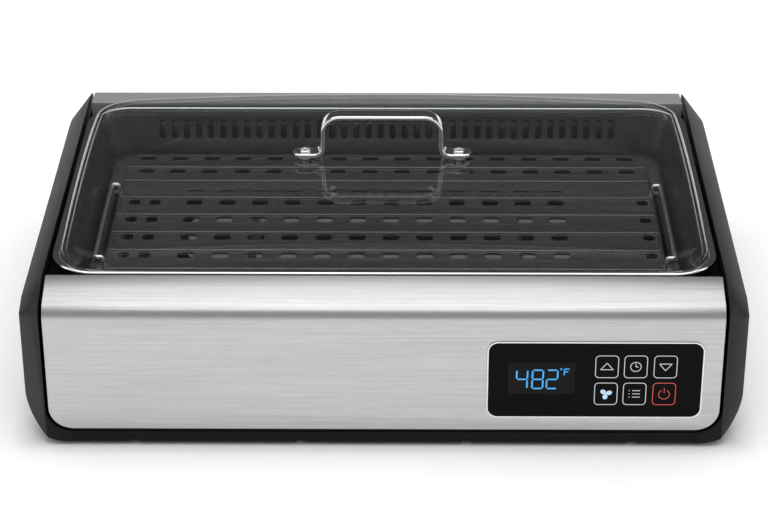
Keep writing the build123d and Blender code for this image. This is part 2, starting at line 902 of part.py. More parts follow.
def make_handle():
    half = handle_span / 2 - handle_strap / 2
    low = strap_low() + handle_strap / 2
    high = strap_low() + handle_height - handle_strap / 2
    end = handle_span / 2 + handle_foot_reach
    x = handle_offset
    bend = handle_strap / 2
    path = FilletPolyline((x - end, 0, low), (x - half, 0, low), (x - half, 0, high),
                          (x + half, 0, high), (x + half, 0, low), (x + end, 0, low),
                          radius=[handle_foot_bend + bend, handle_top_bend - bend,
                                  handle_top_bend - bend, handle_foot_bend + bend])
    section = Plane(origin=path @ 0, x_dir=(0, 1, 0), z_dir=path % 0) * Rectangle(handle_width, handle_strap)
    strap = sweep(section, path=path)
    for side in (-1, 1):
        strap = strap + rod(handle_width / 2, x + side * end, 0, strap_low(), strap_low() + handle_strap)
    for place in handle_screw_places():
        strap = strap - rod(handle_screw_radius + fit, place, 0, strap_low() - spare,
                            strap_low() + handle_strap + spare)
    return strap


def cross_recess(x, z):
    slot = handle_head_radius * 0.28
    arm = handle_head_radius * 0.75
    deep = handle_head_height * 0.6
    return [block(x - arm, x + arm, -slot, slot, z - deep, z + spare),
            block(x - slot, x + slot, -arm, arm, z - deep, z + spare)]


def make_handle_screws():
    screws = []
    for x in handle_screw_places():
        seat = strap_low() + handle_strap
        head = rod(handle_head_radius, x, 0, seat, seat + handle_head_height)
        head = fillet(head.edges().group_by(Axis.Z)[-1], handle_head_height * 0.6)
        head = head - cross_recess(x, seat + handle_head_height)
        low = nut_top(x) - nut_height
        screws.append(head + rod(handle_screw_radius, x, 0, low, seat))
    return Compound(children=screws)


def nut_top(x):
    return dome_level(abs(x) + nut_radius, nut_radius) - glass_thick - seam


def make_washers():
    rings = []
    for x in handle_screw_places():
        ring = rod(handle_washer_radius, x, 0, washer_low(), washer_low() + handle_washer_thick)
        rings.append(ring - rod(handle_screw_radius + fit, x, 0, 0, 2 * top_height))
    return Compound(children=rings)


def make_nuts():
    nuts = []
    for x in handle_screw_places():
        top = nut_top(x)
        nut = extrude(Pos(x, 0, top - nut_height) * RegularPolygon(nut_radius, 6), nut_height)
        nuts.append(nut - rod(handle_screw_radius + fit, x, 0, 0, 2 * top_height))
    return Compound(children=nuts)


# Control panel: bright frame, black glass, carrier, display, board and touch springs
def control_face():
    return -half_depth - control_proud


def make_control_frame():
    frame = upright(control_x, control_z, control_length - 2 * fit, control_height - 2 * fit,
                    control_corner, control_face(), -half_depth + control_glass_thick)
    hole = upright(control_x, control_z, control_length - 2 * control_rim, control_height - 2 * control_rim,
                   control_corner - control_rim, control_face() - spare, -half_depth + skin)
    return frame - hole


def make_control_glass():
    gap = control_rim + fit
    front = control_face() + control_proud / 4
    return upright(control_x, control_z, control_length - 2 * gap, control_height - 2 * gap,
                   control_corner - gap, front, -half_depth + control_glass_thick)


def carrier_back():
    return -half_depth + control_glass_thick + carrier_depth


def control_bay_end():
    return carrier_back() + board_thick + screw_head_height + skin


def make_carrier():
    start = -half_depth + control_glass_thick
    outer = upright(control_x, control_z, control_length, control_height, control_corner,
                    start, carrier_back())
    inner = upright(control_x, control_z, control_length - 2 * skin, control_height - 2 * skin,
                    control_corner - skin, start - spare, carrier_back() + spare)
    return outer - inner


def make_display():
    start = -half_depth + control_glass_thick
    return upright(display_x, display_z, display_length, display_height, display_corner,
                   start, carrier_back())


def make_touch_board():
    board = upright(control_x, control_z, control_length, control_height, control_corner,
                    carrier_back(), carrier_back() + board_thick)
    for x, z in board_screw_places():
        board = board - rod_y(screw_radius + fit, x, z, carrier_back() - spare,
                              carrier_back() + board_thick + spare)
    return board


def board_screw_places():
    x = control_length / 2 - control_corner / 2
    z = control_height / 2 - control_corner / 2
    return [(control_x + sx * x, control_z + sz * z) for sx in (-1, 1) for sz in (-1, 1)]


def make_touch_springs():
    start = -half_depth + control_glass_thick
    springs = []
    for z in button_rows:
        for x in button_columns:
            springs.append(rod_y(touch_spring_radius, x, z, start, carrier_back()))
    return Compound(children=springs)


# Power electronics lie on posts in the front bay
def make_power_board():
    board = block(power_x - power_length / 2, power_x + power_length / 2,
                  power_y - power_width / 2, power_y + power_width / 2,
                  power_level, power_level + board_thick)
    for x, y in power_posts():
        board = board - rod(screw_radius + fit, x, y, 0, 2 * top_height)
    return board


def on_board(shift, length, width, height):
    x = power_x + shift
    low = power_level + board_thick
    return block(x - length / 2, x + length / 2, power_y - width / 2, power_y + width / 2, low, low + height)


def make_relay():
    relay = on_board(relay_shift, relay_length, relay_width, relay_height)
    return fillet(relay.edges().filter_by(Axis.Z), relay_corner)


def make_transformer():
    core = on_board(0, core_length, core_width, core_height)
    coil = on_board(0, coil_length, coil_width, coil_height)
    return core + coil


def make_capacitor():
    low = power_level + board_thick
    can = rod(can_radius, power_x + can_shift, power_y, low, low + can_height)
    return fillet(can.edges().group_by(Axis.Z)[-1], can_edge)


# Smoke path: filter behind the slots, fan, duct and rear grille
def make_filter():
    y = well_half_y + well_sheet + seam + collar_wall + seam
    low = deck_low - seam - filter_height
    mesh = block(-filter_length / 2, filter_length / 2, y, y + filter_thick, low, deck_low)
    for x in spread(int((filter_length - 2 * filter_edge) / filter_pitch), filter_pitch):
        mesh = mesh - block(x - filter_hole / 2, x + filter_hole / 2, y - spare, y + filter_thick + spare,
                            low + filter_edge, deck_low - filter_edge)
    return mesh


def make_fan_frame():
    frame = upright(0, fan_z, fan_size, fan_size, fan_corner, fan_y, fan_end)
    bore = fan_size / 2 - fan_wall
    frame = frame - rod_y(bore, 0, fan_z, fan_y - spare, fan_end + spare)
    back = fan_end - fan_wall
    frame = frame + rod_y(hub_radius, 0, fan_z, back, fan_end)
    for turn in spoke_turns:
        spoke = block(0, bore + spare, back, fan_end, -spoke_width / 2, spoke_width / 2)
        frame = frame + Pos(0, 0, fan_z) * Rot(0, turn, 0) * spoke
    frame = frame + rod_y(shaft_radius + bearing_wall, 0, fan_z, back - bearing_length, back)
    frame = frame - rod_y(shaft_radius + fit, 0, fan_z, back - bearing_length - spare, shaft_end() + seam)
    for x, z in fan_screw_places():
        frame = frame - rod_y(screw_radius + fit, x, z, fan_y - spare, fan_end + spare)
    return frame


def fan_screw_places():
    place = fan_size / 2 - fan_screw_inset
    return [(sx * place, fan_z + sz * place) for sx in (-1, 1) for sz in (-1, 1)]


def shaft_end():
    return fan_end - fan_wall / 2 - seam


def make_fan_rotor():
    start = fan_y + hub_start
    end = start + hub_length
    hub = rod_y(hub_radius, 0, fan_z, start, end)
    hub = hub - rod_y(hub_radius - hub_wall, 0, fan_z, start + hub_wall, end + spare)
    hub = hub + rod_y(shaft_radius, 0, fan_z, start + hub_wall / 2, shaft_end())
    tip = fan_size / 2 - fan_wall - fan_tip_gap
    for i in range(blade_count):
        blade = block(-hub_length / 2, hub_length / 2, -fan_blade_thick / 2, fan_blade_thick / 2,
                      hub_radius - hub_wall / 2, tip)
        turned = Rot(0, i * 360 / blade_count, 0) * Rot(0, 0, blade_twist) * blade
        hub = hub + Pos(0, (start + end) / 2, fan_z) * turned
    return hub & rod_y(tip, 0, fan_z, start, shaft_end())


def make_duct():
    back = half_depth - 2 * skin
    outer = upright(0, fan_z, fan_size, fan_size, fan_corner, fan_end, back)
    inner = upright(0, fan_z, fan_size - 2 * duct_wall, fan_size - 2 * duct_wall, fan_corner - duct_wall,
                    fan_end - spare, half_depth)
    duct = outer - inner
    for x, z in fan_screw_places():
        duct = duct + (rod_y(duct_boss_radius, x, z, fan_end, back) & outer)
        duct = duct - rod_y(screw_radius + fit, x, z, fan_end - spare, fan_end + screw_length)
    return duct


def make_grille():
    front = upright(0, fan_z, grille_length, grille_height, grille_corner,
                    half_depth, half_depth + control_proud)
    body = upright(0, fan_z, grille_length - 2 * skin - 2 * fit, grille_height - 2 * skin - 2 * fit,
                   grille_corner, half_depth - 2 * skin, half_depth)
    grille = front + body
    gap = grille_pitch - grille_bar
    count = int((grille_height - 4 * skin) / grille_pitch)
    for z in spread(count, grille_pitch):
        slot = upright(0, fan_z + z, grille_length - 4 * skin, gap, gap / 2 - fit,
                       half_depth - 3 * skin, half_depth + skin)
        grille = grille - slot
    return grille


# Power inlet, sunk in the rear panel
def make_inlet():
    flange = upright(inlet_x, inlet_z, inlet_flange_length, inlet_flange_height, inlet_flange_corner,
                     base_inner_face - inlet_flange_thick, base_inner_face)
    body = upright(inlet_x, inlet_z, inlet_length, inlet_height, skin,
                   half_depth - inlet_depth, half_depth)
    hollow = upright(inlet_x, inlet_z, inlet_length - 2 * inlet_wall, inlet_height - 2 * inlet_wall,
                     inlet_hollow_corner, half_depth - inlet_depth + inlet_wall, half_depth + spare)
    inlet = (flange + body) - hollow
    for x in (-inlet_screw_span / 2, inlet_screw_span / 2):
        inlet = inlet - rod_y(screw_radius + fit, inlet_x + x, inlet_z, half_depth - inlet_depth, half_depth)
    return inlet


def make_inlet_pins():
    pins = []
    back = half_depth - inlet_depth + inlet_wall
    for shift_x, shift_z in inlet_pin_shifts:
        x = inlet_x + shift_x
        z = inlet_z + shift_z
        pins.append(block(x - inlet_pin / 2, x + inlet_pin / 2, back, half_depth - inlet_pin_inset,
                          z - inlet_pin_height / 2, z + inlet_pin_height / 2))
    return Compound(children=pins)


# Fasteners, each set a group of alike screws
def screw_up(x, y, tip):
    head = rod(screw_head_radius, x, y, foot_height - screw_head_height, foot_height)
    head = fillet(head.edges().group_by(Axis.Z)[0], screw_head_height / 3)
    return head + rod(screw_radius, x, y, foot_height, tip)


def screw_down(x, y, seat, tip):
    head = rod(screw_head_radius, x, y, seat, seat + screw_head_height)
    head = fillet(head.edges().group_by(Axis.Z)[-1], screw_head_height / 3)
    return head + rod(screw_radius, x, y, tip, seat)


def make_base_screws():
    tip = pan_floor_top + screw_length - spare
    return Compound(children=[screw_up(x, y, tip) for x, y in deck_legs()])


def make_tank_screws():
    return Compound(children=[screw_up(x, y, tank_floor) for x, y in tank_bosses()])


def make_power_screws():
    seat = power_level + board_thick
    return Compound(children=[screw_down(x, y, seat, pan_floor_top + spare) for x, y in power_posts()])


def make_cap_screws():
    screws = []
    for side in (-1, 1):
        for y in spread(cap_boss_count, cap_boss_pitch):
            inside = side * (base_half - skin)
            ends = sorted((inside, inside - side * screw_head_height))
            head = rod_x(screw_head_radius, y, cap_boss_height, ends[0], ends[1])
            ends = sorted((inside, side * (base_half + screw_length - spare)))
            screws.append(head + rod_x(screw_radius, y, cap_boss_height, ends[0], ends[1]))
    return Compound(children=screws)


def screw_back(x, z, seat, tip, thick):
    return rod_y(screw_head_radius, x, z, seat, seat + thick) + rod_y(screw_radius, x, z, tip, seat)


def make_rear_screws():
    seat = half_depth - panel_sheet
    return Compound(children=[screw_back(x, rear_screw_height(), seat, seat - skin, panel_sheet)
                              for x in rear_screw_places()])


def make_inlet_screws():
    screws = []
    for x in (-inlet_screw_span / 2, inlet_screw_span / 2):
        seat = base_inner_face - inlet_flange_thick
        head = rod_y(screw_head_radius, inlet_x + x, inlet_z, seat - screw_head_height, seat)
        screws.append(head + rod_y(screw_radius, inlet_x + x, inlet_z, seat, half_depth))
    return Compound(children=screws)


def make_fan_screws():
    screws = []
    for x, z in fan_screw_places():
        head = rod_y(screw_head_radius, x, z, fan_y - screw_head_height, fan_y)
        screws.append(head + rod_y(screw_radius, x, z, fan_y, fan_end + screw_length - spare))
    return Compound(children=screws)


def make_board_screws():
    screws = []
    for x, z in board_screw_places():
        seat = carrier_back() + board_thick
        head = rod_y(screw_head_radius * 0.8, x, z, seat, seat + screw_head_height)
        screws.append(head + rod_y(screw_radius, x, z, seat - board_thick, seat))
    return Compound(children=screws)


# Temperature sensor: a button on the tank's underside, with its strap
def under_tank(x, y):
    return block(x - strap_length / 2, x + strap_length / 2, y - strap_width / 2, y + strap_width / 2,
                 tank_floor - strap_thick, tank_floor)


def make_sensor():
    return rod(sensor_radius, sensor_x, 0, tank_floor - sensor_height, tank_floor) + under_tank(sensor_x, 0)


def make_fuse():
    level = tank_floor - fuse_radius - fuse_gap
    body = rod_x(fuse_radius, fuse_y, level, fuse_x - fuse_length / 2, fuse_x + fuse_length / 2)
    return body + under_tank(fuse_x, fuse_y)


front_panel, rear_panel = make_panels()
right_cap = make_right_cap()
parts = {
    "base_pan": make_base_pan(),
    "rubber_feet": make_feet(),
    "front_panel": front_panel,
    "rear_panel": rear_panel,
    "right_end_cap": right_cap,
    "left_end_cap": mirror_x(right_cap),
    "top_deck": make_deck(),
    "cooking_well": make_well(),
    "plate_frame": make_plate_frame(),
    "grill_plate": make_plate(),
    "plate_grip_left": make_grip(-1),
    "plate_grip_right": make_grip(1),
    "heating_element": make_element(),
    "element_cross_bars": make_cross_bars(),
    "element_clips": make_clips(),
    "terminal_block": make_terminal_block(),
    "terminal_blades": make_blades(),
    "element_socket": make_socket(),
    "heat_shield_tank": make_tank(),
    "element_rests": make_rests(),
    "drip_tray": make_tray(),
    "lid_rim": make_rim(),
    "lid_glass": make_glass(),
    "lid_handle": make_handle(),
    "handle_screws": make_handle_screws(),
    "handle_washers": make_washers(),
    "handle_nuts": make_nuts(),
    "control_frame": make_control_frame(),
    "control_glass": make_control_glass(),
    "control_carrier": make_carrier(),
    "display_module": make_display(),
    "touch_board": make_touch_board(),
    "touch_springs": make_touch_springs(),
    "board_screws": make_board_screws(),
    "power_board": make_power_board(),
    "power_relay": make_relay(),
    "power_transformer": make_transformer(),
    "power_capacitor": make_capacitor(),
    "smoke_filter": make_filter(),
    "fan_frame": make_fan_frame(),
    "fan_rotor": make_fan_rotor(),
    "fan_duct": make_duct(),
    "fan_screws": make_fan_screws(),
    "exhaust_grille": make_grille(),
    "power_inlet": make_inlet(),
    "inlet_pins": make_inlet_pins(),
    "inlet_screws": make_inlet_screws(),
    "base_screws": make_base_screws(),
    "tank_screws": make_tank_screws(),
    "power_board_screws": make_power_screws(),
    "cap_screws": make_cap_screws(),
    "rear_screws": make_rear_screws(),
    "temperature_sensor": make_sensor(),
    "thermal_fuse": make_fuse(),
}

os.makedirs("parts", exist_ok=True)
for name, shape in parts.items():
    export_step(shape, "parts/" + name + ".step")
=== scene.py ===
import json
import math

import bmesh
import bpy
from mathutils import Matrix, Vector


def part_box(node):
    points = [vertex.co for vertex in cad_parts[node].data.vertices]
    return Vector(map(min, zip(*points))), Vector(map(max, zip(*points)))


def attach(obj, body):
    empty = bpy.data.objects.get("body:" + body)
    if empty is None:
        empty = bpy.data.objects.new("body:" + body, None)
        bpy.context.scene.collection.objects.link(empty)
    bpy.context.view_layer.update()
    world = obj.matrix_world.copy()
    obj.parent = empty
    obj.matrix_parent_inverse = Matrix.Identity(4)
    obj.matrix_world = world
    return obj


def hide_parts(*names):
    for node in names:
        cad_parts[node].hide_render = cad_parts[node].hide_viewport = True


# Smokeless indoor grill: finishes, softened edges, the lid's glass dome and strap handle, a dust
# screen, the printed touch panel, and the studio. Lengths are in metres; the dictionaries give
# angles in degrees.

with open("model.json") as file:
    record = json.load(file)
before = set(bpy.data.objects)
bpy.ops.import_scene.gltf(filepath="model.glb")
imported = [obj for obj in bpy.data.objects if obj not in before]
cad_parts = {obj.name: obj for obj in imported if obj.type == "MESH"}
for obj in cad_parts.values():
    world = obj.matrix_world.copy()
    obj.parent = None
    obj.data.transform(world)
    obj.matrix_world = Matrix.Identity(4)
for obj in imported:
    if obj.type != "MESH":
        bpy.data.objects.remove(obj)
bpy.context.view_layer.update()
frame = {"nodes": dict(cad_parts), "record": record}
bpy.ops.object.select_all(action="DESELECT")
print("frame loaded:", len(frame["nodes"]), "pieces")

millimetre = 0.001
nearEnough = 0.0001   # places closer than this count as the same
slotOfNode = {part["node"]: part["material_slot"] for part in frame["record"]["subparts"]}
bodyOfNode = {node: body for body, nodes in frame["record"]["behaviour"]["bodies"].items()
              for node in nodes}


# Shader helpers

class Value:
    # wraps one socket, so that maths on it is written as plain expressions
    def __init__(self, finish, socket):
        self.finish = finish
        self.socket = socket

    def __add__(self, other):
        return self.finish.maths("ADD", self, other)

    def __radd__(self, other):
        return self.finish.maths("ADD", other, self)

    def __sub__(self, other):
        return self.finish.maths("SUBTRACT", self, other)

    def __rsub__(self, other):
        return self.finish.maths("SUBTRACT", other, self)

    def __mul__(self, other):
        return self.finish.maths("MULTIPLY", self, other)

    def __rmul__(self, other):
        return self.finish.maths("MULTIPLY", other, self)

    def __pow__(self, other):
        return self.finish.maths("POWER", self, other)


def grey(level):
    return (level, level, level, 1)


class Finish:
    # one material, or the world, and the few ways in which its nodes are made
    usualLow, usualHigh = 0.3, 0.7   # most of a noise lies between these

    def __init__(self, owner):
        owner.use_nodes = True
        self.tree = owner.node_tree
        self.tree.nodes.clear()

    def add(self, kind, settings, sockets, output=0):
        node = self.tree.nodes.new("ShaderNode" + kind)
        for key, setting in settings.items():
            setattr(node, key, setting)
        for key, value in sockets.items():
            if isinstance(value, Value):
                self.tree.links.new(value.socket, node.inputs[key])
            else:
                node.inputs[key].default_value = value
        if not node.outputs:
            return None
        return Value(self, node.outputs[output])

    def maths(self, operation, first, second):
        return self.add("Math", {"operation": operation}, {0: first, 1: second})

    def clamped(self, value):
        return self.add("Clamp", {}, {"Value": value})

    def place(self, stretch=(1, 1, 1)):
        here = self.add("TexCoord", {}, {}, "Object")
        return self.add("Mapping", {}, {"Vector": here, "Scale": stretch})

    def noise(self, scale, detail=2.0, stretch=(1, 1, 1)):
        return self.add("TexNoise", {}, {"Vector": self.place(stretch), "Scale": scale,
                                         "Detail": detail}, "Fac")

    def ramp(self, value, start, end, low, high):
        return self.add("MapRange", {}, {"Value": value, "From Min": start, "From Max": end,
                                         "To Min": low, "To Max": high})

    def spread(self, value, low, high):
        return self.ramp(value, self.usualLow, self.usualHigh, low, high)

    def mixed(self, share, first, second):
        return self.add("Mix", {"data_type": "RGBA"}, {"Factor": share, 6: first, 7: second}, 2)

    def shaded(self, share, tone, swing):
        # grey that wanders round a tone by a share of it
        return self.mixed(share, grey(tone * (1 - swing)), grey(tone * (1 + swing)))

    def bump(self, height, strength, distance):
        return self.add("Bump", {}, {"Height": height, "Strength": strength,
                                     "Distance": distance}, "Normal")

    def lightPath(self, ray):
        return self.add("LightPath", {}, {}, ray)

    def principled(self, sockets):
        return self.add("BsdfPrincipled", {}, sockets, "BSDF")

    def surface(self, shader):
        self.add("OutputMaterial", {}, {"Surface": shader})


def newFinish(name):
    material = bpy.data.materials.new(name)
    return material, Finish(material)


# Brushed steel: fine grain and longer streaks, both drawn out along X

brushedSteelLook = {
    "light": 0.58, "dark": 0.45, "roughLow": 0.27, "roughHigh": 0.34,
    "grainAcross": 2400, "grainAlong": 40, "grainShare": 0.45,
    "streakAcross": 900, "streakAlong": 9, "streakShare": 0.55,
    "relief": 0.06, "reliefDepth": 0.00008,
}


def makeBrushedSteel(name, roughMore=0.0, metal=1.0):
    look = brushedSteelLook
    material, finish = newFinish(name)
    grain = finish.noise(1.0, 2.0, (look["grainAlong"], look["grainAcross"], look["grainAcross"]))
    streaks = finish.noise(1.0, 3.0,
                           (look["streakAlong"], look["streakAcross"], look["streakAcross"]))
    both = grain * look["grainShare"] + streaks * look["streakShare"]
    tone = finish.mixed(finish.spread(both, 0, 1), grey(look["dark"]), grey(look["light"]))
    rough = finish.spread(both, look["roughHigh"] + roughMore, look["roughLow"] + roughMore)
    finish.surface(finish.principled({
        "Base Color": tone, "Metallic": metal, "Roughness": rough,
        "Normal": finish.bump(streaks, look["relief"], look["reliefDepth"])}))
    return material


# Polished or plain steel, with faint smudges

polishedLook = {"dull": 0.92, "roughMore": 0.05, "detail": 3.0}


def makePolished(name, tone, rough, smudgeScale):
    look = polishedLook
    material, finish = newFinish(name)
    smudge = finish.noise(smudgeScale, look["detail"])
    finish.surface(finish.principled({
        "Base Color": finish.mixed(smudge, grey(tone * look["dull"]), grey(tone)), "Metallic": 1.0,
        "Roughness": finish.spread(smudge, rough, rough + look["roughMore"])}))
    return material


# Heating element: drawn tube, browner where it was hotter; a painted glow, a faint emission on the
# unlit tube, lets it read through the slots

elementLook = {
    "cool": (0.90, 0.88, 0.86, 1), "heated": (0.70, 0.66, 0.62, 1), "heatScale": 22,
    "rough": 0.24, "roughMore": 0.12, "metal": 0.45, "paintedGlow": 0.10,
    "drawnAlong": 20, "drawnAcross": 1800, "relief": 0.1, "reliefDepth": 0.00004,
}


def makeElementSteel():
    look = elementLook
    material, finish = newFinish("elementSteel")
    heat = finish.noise(look["heatScale"], 3.0)
    drawn = finish.noise(1.0, 2.0, (look["drawnAlong"], look["drawnAcross"], look["drawnAcross"]))
    finish.surface(finish.principled({
        "Base Color": finish.mixed(heat, look["heated"], look["cool"]), "Metallic": look["metal"],
        "Roughness": finish.spread(drawn, look["rough"], look["rough"] + look["roughMore"]),
        # painted glow: the unlit element gets a faint emission so it shows lighter through the
        # slots
        "Emission Color": look["cool"], "Emission Strength": look["paintedGlow"],
        "Normal": finish.bump(drawn, look["relief"], look["reliefDepth"])}))
    return material


# Moulded plastic and rubber: fine grain over soft clouds

mouldedLook = {"cloudScale": 35, "toneSwing": 0.1, "roughSwing": 0.05, "reliefDepth": 0.00008}


def makeMoulded(name, tone, rough, grainScale, relief, gloss=0.5):
    look = mouldedLook
    material, finish = newFinish(name)
    grain = finish.noise(grainScale, 3.0)
    cloud = finish.noise(look["cloudScale"], 3.0)
    finish.surface(finish.principled({
        "Base Color": finish.shaded(cloud, tone, look["toneSwing"]),
        "Roughness": finish.spread(grain * 0.5 + cloud * 0.5,
                                   rough - look["roughSwing"], rough + look["roughSwing"]),
        "Specular IOR Level": gloss,
        "Normal": finish.bump(grain, relief, look["reliefDepth"])}))
    return material


# Non-stick coating: satin, with a fine orange peel and a few light specks

coatedLook = {
    "peelScale": 1500, "cloudScale": 14, "toneSwing": 0.12, "roughSwing": 0.05,
    "peelShare": 0.4, "cloudShare": 0.6, "reliefDepth": 0.0001,
    "speckScale": 1300.0, "speckSize": 0.14, "speckEdge": 5.0, "speckTone": 1.9,
}


def makeCoated(name, tone, rough, relief, gloss=0.5):
    look = coatedLook
    material, finish = newFinish(name)
    peel = finish.noise(look["peelScale"], 2.0)
    cloud = finish.noise(look["cloudScale"], 4.0)
    cell = finish.add("TexVoronoi", {}, {"Vector": finish.place(), "Scale": look["speckScale"]},
                      "Distance")
    base = finish.shaded(cloud, tone, look["toneSwing"])
    speck = finish.clamped((look["speckSize"] - cell) * look["speckEdge"])
    finish.surface(finish.principled({
        "Base Color": finish.mixed(speck, base, grey(tone * look["speckTone"])),
        "Roughness": finish.spread(cloud * look["cloudShare"] + peel * look["peelShare"],
                                   rough - look["roughSwing"], rough + look["roughSwing"]),
        "Specular IOR Level": gloss,
        "Normal": finish.bump(peel, relief, look["reliefDepth"])}))
    return material


# Clear glass: see-through, with the mirror share that glass has at each angle

glassLook = {
    "tone": (0.955, 0.965, 0.965, 1), "headOn": 0.004, "fall": 4.0, "rough": 0.0,
    "waveScale": 9, "waveRelief": 0.02, "waveDepth": 0.001,
}


def makeClearGlass():
    look = glassLook
    material, finish = newFinish("clearGlass")
    wave = finish.noise(look["waveScale"], 1.0)
    edgeOn = finish.add("LayerWeight", {}, {"Blend": 0.5}, "Facing")
    mirrored = look["headOn"] + (1 - look["headOn"]) * edgeOn ** look["fall"]
    shine = finish.principled({
        "Base Color": grey(1.0), "Metallic": 1.0, "Roughness": look["rough"],
        "Normal": finish.bump(wave, look["waveRelief"], look["waveDepth"])})
    through = finish.add("BsdfTransparent", {}, {"Color": look["tone"]})
    unseen = finish.lightPath("Is Shadow Ray") + finish.lightPath("Is Diffuse Ray")
    share = mirrored * (1 - finish.clamped(unseen))
    finish.surface(finish.add("MixShader", {}, {0: share, 1: through, 2: shine}))
    return material


# Black glass of the touch panel

blackGlassLook = {"cloudScale": 20, "toneSwing": 0.1, "roughLow": 0.05, "roughHigh": 0.08,
                  "gloss": 0.06}


def makeBlackGlass(name, tone):
    look = blackGlassLook
    material, finish = newFinish(name)
    cloud = finish.noise(look["cloudScale"], 2.0)
    finish.surface(finish.principled({
        "Base Color": finish.shaded(cloud, tone, look["toneSwing"]),
        "Roughness": finish.spread(cloud, look["roughLow"], look["roughHigh"]),
        "Specular IOR Level": look["gloss"]}))
    return material


# Lit print

printLook = {"ground": 0.02, "rough": 0.4, "inkScale": 400, "dull": 0.9}


def makePrint(name, colour, strength):
    look = printLook
    material, finish = newFinish(name)
    ink = finish.noise(look["inkScale"], 2.0)
    dull = tuple(c * look["dull"] for c in colour[:3]) + (1,)
    finish.surface(finish.principled({
        "Base Color": grey(look["ground"]), "Emission Color": finish.mixed(ink, dull, colour),
        "Emission Strength": strength, "Roughness": look["rough"]}))
    return material


# Brass of the contacts

brassLook = {"dark": (0.66, 0.48, 0.20, 1), "light": (0.78, 0.60, 0.30, 1), "cloudScale": 120,
             "roughLow": 0.2, "roughHigh": 0.32}


def makeBrass():
    look = brassLook
    material, finish = newFinish("brass")
    cloud = finish.noise(look["cloudScale"], 3.0)
    finish.surface(finish.principled({
        "Base Color": finish.mixed(cloud, look["dark"], look["light"]), "Metallic": 1.0,
        "Roughness": finish.spread(cloud, look["roughLow"], look["roughHigh"])}))
    return material


# Circuit boards: green fields between lighter tracks

boardLook = {
    "fieldA": (0.015, 0.12, 0.05, 1), "fieldB": (0.02, 0.16, 0.06, 1),
    "track": (0.03, 0.24, 0.10, 1), "trackWidth": 0.03, "offset": 0.35, "rough": 0.4,
    "fieldsPerMetre": 180,
}


def makeBoard():
    look = boardLook
    material, finish = newFinish("circuitBoard")
    fields = finish.add("TexBrick", {"offset": look["offset"]}, {
        "Vector": finish.place((look["fieldsPerMetre"],) * 3), "Scale": 1.0,
        "Color1": look["fieldA"], "Color2": look["fieldB"], "Mortar": look["track"],
        "Mortar Size": look["trackWidth"]}, "Color")
    finish.surface(finish.principled({"Base Color": fields, "Roughness": look["rough"]}))
    return material


# The finish of each material slot, and of the few nodes that differ from their slot

slotFinishes = {
    "case_plastic": makeMoulded("casePlastic", tone=0.006, rough=0.46, grainScale=1800,
                                relief=0.2, gloss=0.12),
    "cap_plastic": makeMoulded("capPlastic", tone=0.010, rough=0.42, grainScale=2200,
                               relief=0.12, gloss=0.12),
    "rubber": makeMoulded("footRubber", tone=0.015, rough=0.70, grainScale=900, relief=0.3),
    "part_plastic": makeMoulded("partPlastic", tone=0.05, rough=0.35, grainScale=1200, relief=0.1),
    "brushed_steel": makeBrushedSteel("brushedSteel"),
    "bright_steel": makePolished("polishedSteel", tone=0.86, rough=0.04, smudgeScale=60),
    "plain_steel": makePolished("sheetSteel", tone=0.55, rough=0.30, smudgeScale=90),
    "screw_steel": makePolished("screwSteel", tone=0.60, rough=0.22, smudgeScale=200),
    "element_steel": makeElementSteel(),
    "well_coating": makeCoated("wellCoating", tone=0.027, rough=0.27, relief=0.02),
    "plate_coating": makeCoated("plateCoating", tone=0.040, rough=0.20, relief=0.015, gloss=1.0),
    "tray_metal": makeCoated("trayCoating", tone=0.035, rough=0.42, relief=0.12),
    "brass": makeBrass(),
    "clear_glass": makeClearGlass(),
    "black_glass": makeBlackGlass("blackGlass", tone=0.0035),
    "circuit_board": makeBoard(),
}
gripSteel = makePolished("gripSteel", tone=0.80, rough=0.28, smudgeScale=70)
nodeFinishes = {
    "plate_grip_left": gripSteel,
    "plate_grip_right": gripSteel,
    "rear_panel": makeBrushedSteel("satinSteel", roughMore=0.14, metal=0.62),
    "handle_nuts": makePolished("darkNut", tone=0.10, rough=0.35, smudgeScale=70),
}


def setFinish(piece, material):
    for place in piece.material_slots:
        place.material = material
    if not piece.material_slots:
        piece.data.materials.append(material)


for node, piece in frame["nodes"].items():
    setFinish(piece, nodeFinishes.get(node, slotFinishes[slotOfNode[node]]))
print("finishes set")


# Modelling helpers

def selectOnly(piece):
    bpy.ops.object.select_all(action="DESELECT")
    piece.select_set(True)
    bpy.context.view_layer.objects.active = piece


def settle(piece):
    # puts the object's place into its mesh, so that the object itself sits at the origin
    selectOnly(piece)
    bpy.ops.object.transform_apply(location=True, rotation=True, scale=True)


def editMode(piece, kind):
    selectOnly(piece)
    bpy.ops.object.mode_set(mode="EDIT")
    bpy.ops.mesh.select_mode(type=kind)


def objectMode():
    bpy.ops.object.mode_set(mode="OBJECT")


def selectAll():
    bpy.ops.mesh.select_all(action="SELECT")


def faceOutwards():
    selectAll()
    bpy.ops.mesh.normals_make_consistent(inside=False)


def pick(piece, kind, test):
    # selects the vertices, edges or faces that pass the test
    shape = bmesh.from_edit_mesh(piece.data)
    for part in list(shape.verts) + list(shape.edges) + list(shape.faces):
        part.select_set(False)
    for part in {"VERT": shape.verts, "EDGE": shape.edges, "FACE": shape.faces}[kind]:
        if test(part):
            part.select_set(True)
    shape.select_flush_mode()
    bmesh.update_edit_mesh(piece.data)


def applyAll(piece):
    bpy.context.view_layer.objects.active = piece
    for modifier in list(piece.modifiers):
        bpy.ops.object.modifier_apply(modifier=modifier.name)


def soften(piece, width, steps, angle, clamp=True):
    bevel = piece.modifiers.new("soft", "BEVEL")
    bevel.width = width
    bevel.segments = steps
    bevel.limit_method = "ANGLE"
    bevel.angle_limit = math.radians(angle)
    bevel.use_clamp_overlap = clamp
    applyAll(piece)


def smooth(piece, angle):
    selectOnly(piece)
    bpy.ops.object.shade_smooth_by_angle(angle=math.radians(angle))


